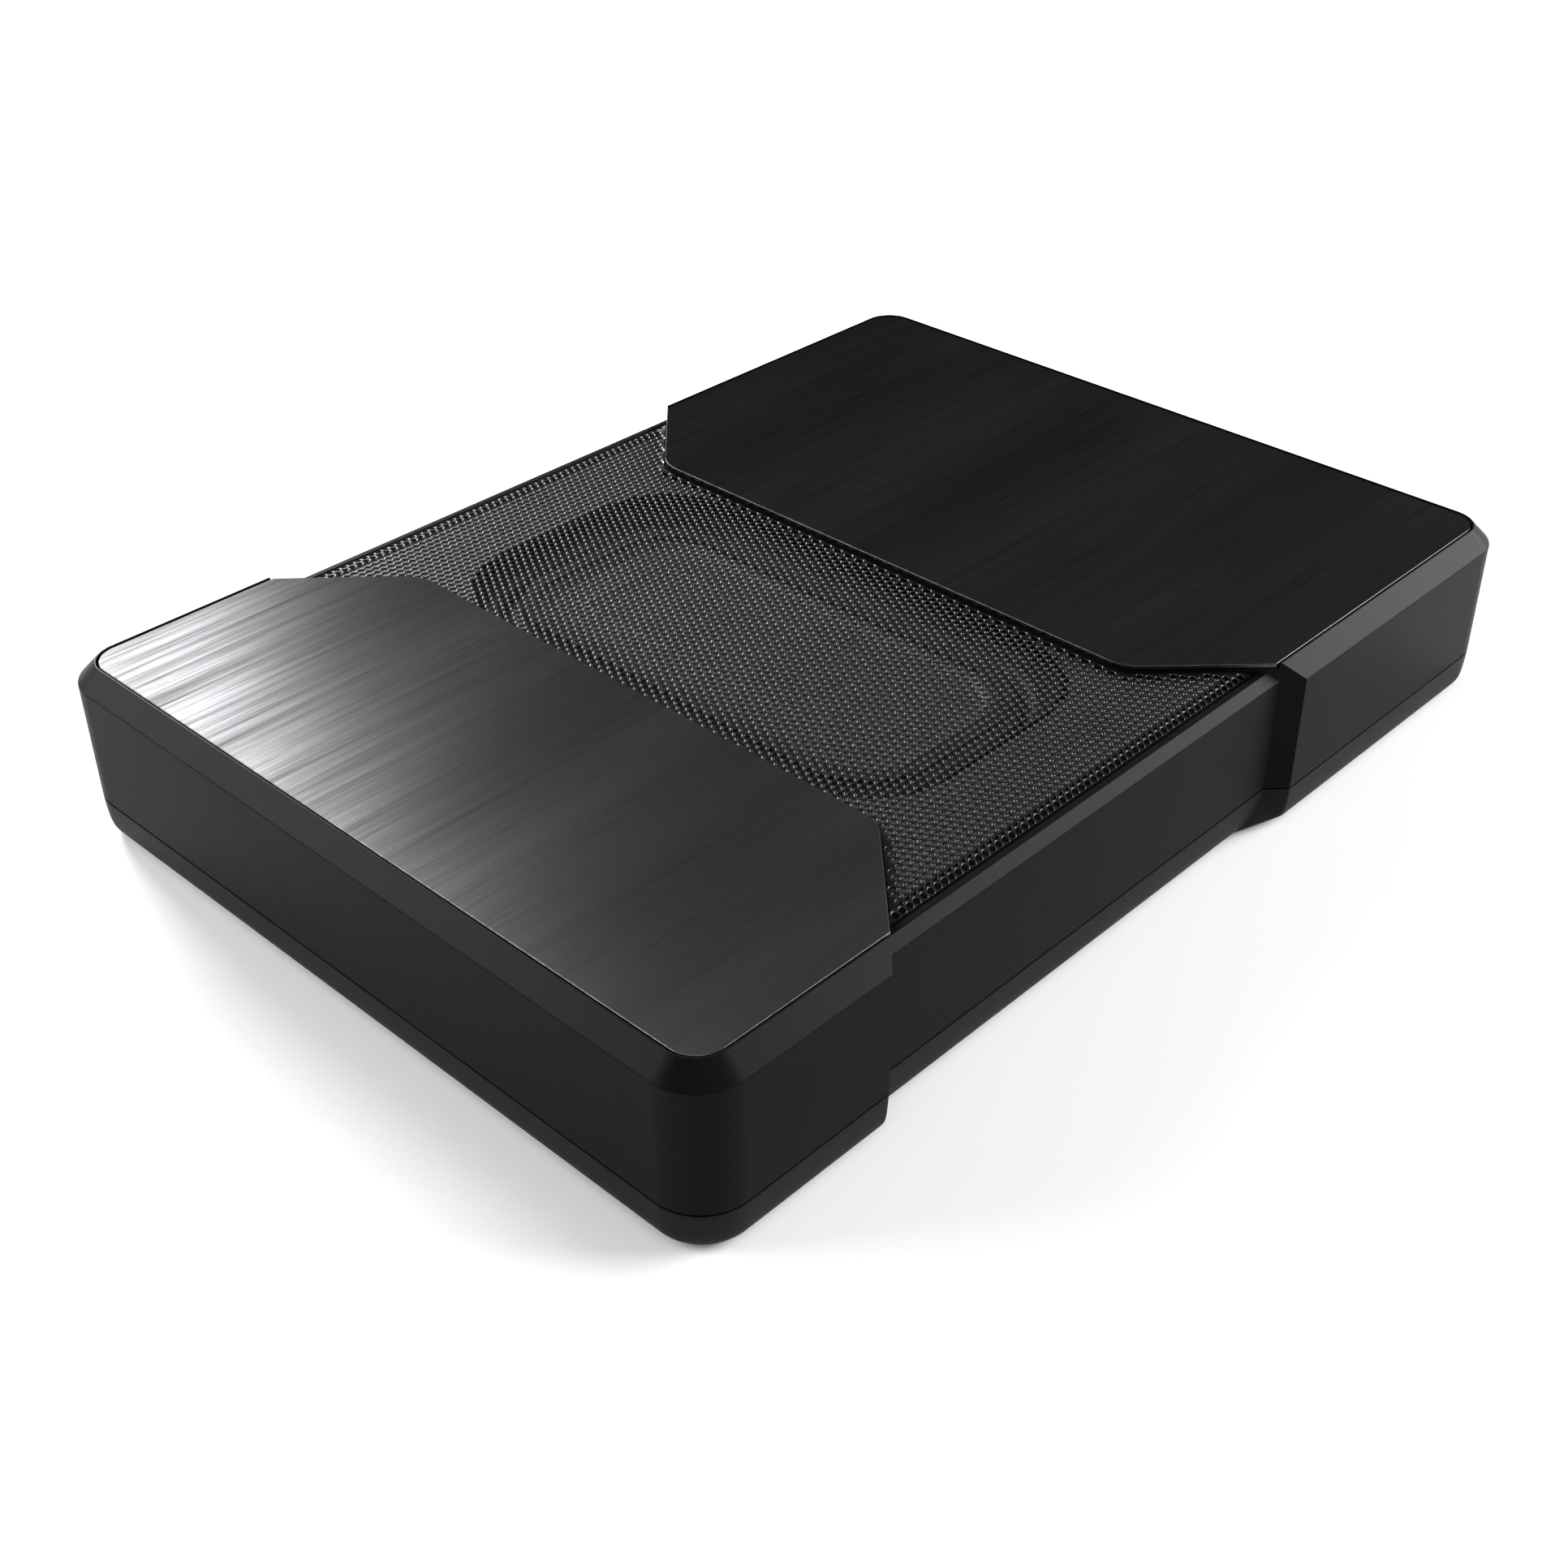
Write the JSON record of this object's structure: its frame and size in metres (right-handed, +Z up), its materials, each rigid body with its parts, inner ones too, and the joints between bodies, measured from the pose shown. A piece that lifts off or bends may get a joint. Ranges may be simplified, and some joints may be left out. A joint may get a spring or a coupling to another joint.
{
  "type": "powered car subwoofer",
  "caption": "Low under-seat powered car subwoofer: two raised brushed plates over a sunken mesh panel, a flat racetrack driver, an amplifier and a recessed end panel of sockets and controls.",
  "frame": {"origin": "centre of the footprint, on the floor under the rubber feet", "axes": "+X along the length from the smaller raised block to the connector end, +Y across from front to back, +Z up"},
  "size_m": [0.34, 0.248, 0.054],
  "materials": {
    "bare_aluminium": "extruded",
    "black_mesh": "satin black powder coat",
    "brushed_plate": "black anodised, brushed along the length",
    "casing_plastic": "fine matte moulded texture",
    "circuit_board": "solder mask",
    "component_plastic": "satin",
    "cone_fibre": "woven fibre skin",
    "copper_wire": "enamelled copper",
    "ferrite": "ground",
    "fuse_plastic": "clear tinted",
    "gold_contact": "gold plated",
    "led_lens": "translucent",
    "rubber": "matte",
    "spider_cloth": "resin-dipped cloth",
    "stamped_steel": "black paint",
    "tray_plastic": "coarser matte moulded texture",
    "wire_sleeve_black": "soft sleeve",
    "wire_sleeve_red": "soft sleeve",
    "zinc_steel": "zinc plated"
  },
  "bodies": {
    "housing": {"amplifier_board": "circuit_board", "base_tray": "tray_plastic", "clamp_bar": "zinc_steel", "crossover_potentiometer": "component_plastic", "driver_basket": "stamped_steel", "driver_gasket": "rubber", "driver_screw_1": "zinc_steel", "driver_screw_2": "zinc_steel", "driver_screw_3": "zinc_steel", "driver_screw_4": "zinc_steel", "driver_terminal": "component_plastic", "far_top_plate": "brushed_plate", "front_pole_plate": "zinc_steel", "fuse_holder": "component_plastic", "gain_potentiometer": "component_plastic", "grille_frame": "casing_plastic", "grille_mesh": "black_mesh", "heat_sink": "bare_aluminium", "housing_screw_1": "zinc_steel", "housing_screw_2": "zinc_steel", "housing_screw_3": "zinc_steel", "housing_screw_4": "zinc_steel", "housing_screw_5": "zinc_steel", "housing_screw_6": "zinc_steel", "near_top_plate": "brushed_plate", "output_transistor_1": "component_plastic", "output_transistor_2": "component_plastic", "output_transistor_3": "component_plastic", "output_transistor_4": "component_plastic", "phase_switch_body": "component_plastic", "pole_yoke": "zinc_steel", "power_choke": "copper_wire", "power_led": "led_lens", "power_socket": "component_plastic", "rca_jack_left": "gold_contact", "rca_jack_right": "gold_contact", "remote_socket": "component_plastic", "reservoir_capacitor_1": "component_plastic", "reservoir_capacitor_2": "component_plastic", "reservoir_capacitor_3": "component_plastic", "ring_magnet": "ferrite", "rubber_foot_1": "rubber", "rubber_foot_2": "rubber", "rubber_foot_3": "rubber", "rubber_foot_4": "rubber", "socket_panel": "casing_plastic", "speaker_input_socket": "component_plastic", "speaker_lead_negative": "wire_sleeve_black", "speaker_lead_positive": "wire_sleeve_red", "spider": "spider_cloth", "surround": "rubber", "upper_casing": "casing_plastic"},
    "cone": {"diaphragm": "cone_fibre", "voice_coil": "copper_wire", "voice_coil_former": "bare_aluminium"},
    "gain_control": {"gain_knob": "component_plastic"},
    "crossover_control": {"crossover_knob": "component_plastic"},
    "phase_lever": {"phase_switch_lever": "component_plastic"},
    "fuse": {"blade_fuse": "fuse_plastic"}
  },
  "joints": [
    {"name": "cone_excursion", "type": "slide", "parent": "housing", "child": "cone", "axis": [0, 0, 1], "range_m": [-0.004, 0.004], "stiffness_N_per_m": 2500, "deforming": ["surround", "spider"]},
    {"name": "gain_turn", "type": "hinge", "parent": "housing", "child": "gain_control", "pos_m": [0.1602, 0.057, 0.03], "axis": [1, 0, 0], "range_deg": [-135, 135]},
    {"name": "crossover_turn", "type": "hinge", "parent": "housing", "child": "crossover_control", "pos_m": [0.1602, 0.074, 0.03], "axis": [1, 0, 0], "range_deg": [-135, 135]},
    {"name": "phase_slide", "type": "slide", "parent": "housing", "child": "phase_lever", "axis": [0, 1, 0], "range_m": [0, 0.003]},
    {"name": "fuse_pull", "type": "slide", "parent": "housing", "child": "fuse", "axis": [1, 0, 0], "range_m": [0, 0.012]}
  ]
}
